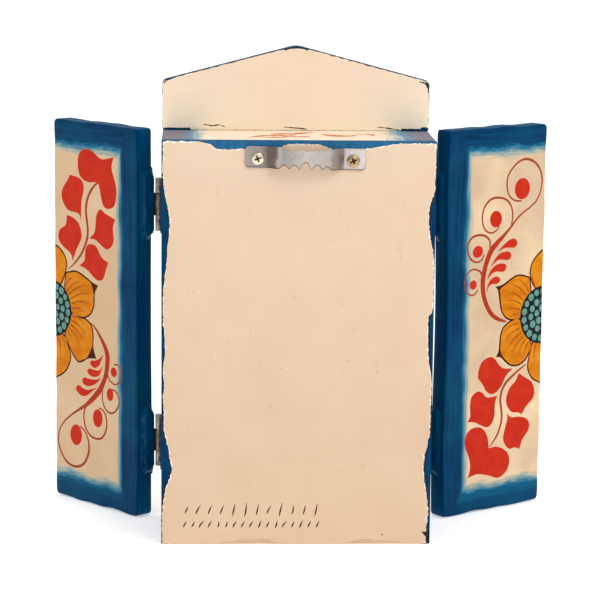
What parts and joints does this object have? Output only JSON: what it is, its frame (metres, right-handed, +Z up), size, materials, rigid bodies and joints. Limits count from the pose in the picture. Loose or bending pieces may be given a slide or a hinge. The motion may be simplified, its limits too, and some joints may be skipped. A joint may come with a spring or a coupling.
{
  "type": "retablo",
  "caption": "Painted wooden retablo: an upright box with a low gabled front board, two hinged doors with painted flowers, and a sawtooth hanger on its back board.",
  "frame": {"origin": "middle of the box's underside", "axes": "+Z up, +Y out of the back board, -Y out of the open front, +X to the right as seen from the front"},
  "size_m": [0.2805, 0.1259, 0.2662],
  "materials": {
    "cream_paint": "matt cream paint over plaster on wood",
    "blue_paint": "glossy deep blue paint with a cream field, on wood",
    "zinc_steel": "zinc plated",
    "worn_steel": "worn, partly painted over",
    "yellow_zinc": "yellow zinc plated"
  },
  "bodies": {
    "box": {"back_panel": "cream_paint", "bottom_board": "blue_paint", "gable_board": "cream_paint", "hanger_screw_1": "yellow_zinc", "hanger_screw_2": "yellow_zinc", "hinge_left_lower_box_leaf": "worn_steel", "hinge_left_lower_box_screw_1": "worn_steel", "hinge_left_lower_box_screw_2": "worn_steel", "hinge_left_lower_pin": "worn_steel", "hinge_left_upper_box_leaf": "worn_steel", "hinge_left_upper_box_screw_1": "worn_steel", "hinge_left_upper_box_screw_2": "worn_steel", "hinge_left_upper_pin": "worn_steel", "hinge_right_lower_box_leaf": "worn_steel", "hinge_right_lower_box_screw_1": "worn_steel", "hinge_right_lower_box_screw_2": "worn_steel", "hinge_right_lower_pin": "worn_steel", "hinge_right_upper_box_leaf": "worn_steel", "hinge_right_upper_box_screw_1": "worn_steel", "hinge_right_upper_box_screw_2": "worn_steel", "hinge_right_upper_pin": "worn_steel", "sawtooth_hanger": "zinc_steel", "side_left": "blue_paint", "side_right": "blue_paint", "top_board": "blue_paint"},
    "door_left": {"door_left": "blue_paint", "hinge_left_lower_door_leaf": "worn_steel", "hinge_left_lower_door_screw_1": "worn_steel", "hinge_left_lower_door_screw_2": "worn_steel", "hinge_left_upper_door_leaf": "worn_steel", "hinge_left_upper_door_screw_1": "worn_steel", "hinge_left_upper_door_screw_2": "worn_steel"},
    "door_right": {"door_right": "blue_paint", "hinge_right_lower_door_leaf": "worn_steel", "hinge_right_lower_door_screw_1": "worn_steel", "hinge_right_lower_door_screw_2": "worn_steel", "hinge_right_upper_door_leaf": "worn_steel", "hinge_right_upper_door_screw_1": "worn_steel", "hinge_right_upper_door_screw_2": "worn_steel"}
  },
  "joints": [
    {"name": "door_right_hinge", "type": "hinge", "parent": "box", "child": "door_right", "pos_m": [0.0756, -0.03205, 0.1104], "axis": [0, 0, 1], "range_deg": [-131.9, 48.1]},
    {"name": "door_left_hinge", "type": "hinge", "parent": "box", "child": "door_left", "pos_m": [-0.0756, -0.03205, 0.1104], "axis": [0, 0, -1], "range_deg": [-144.5, 35.5]}
  ]
}
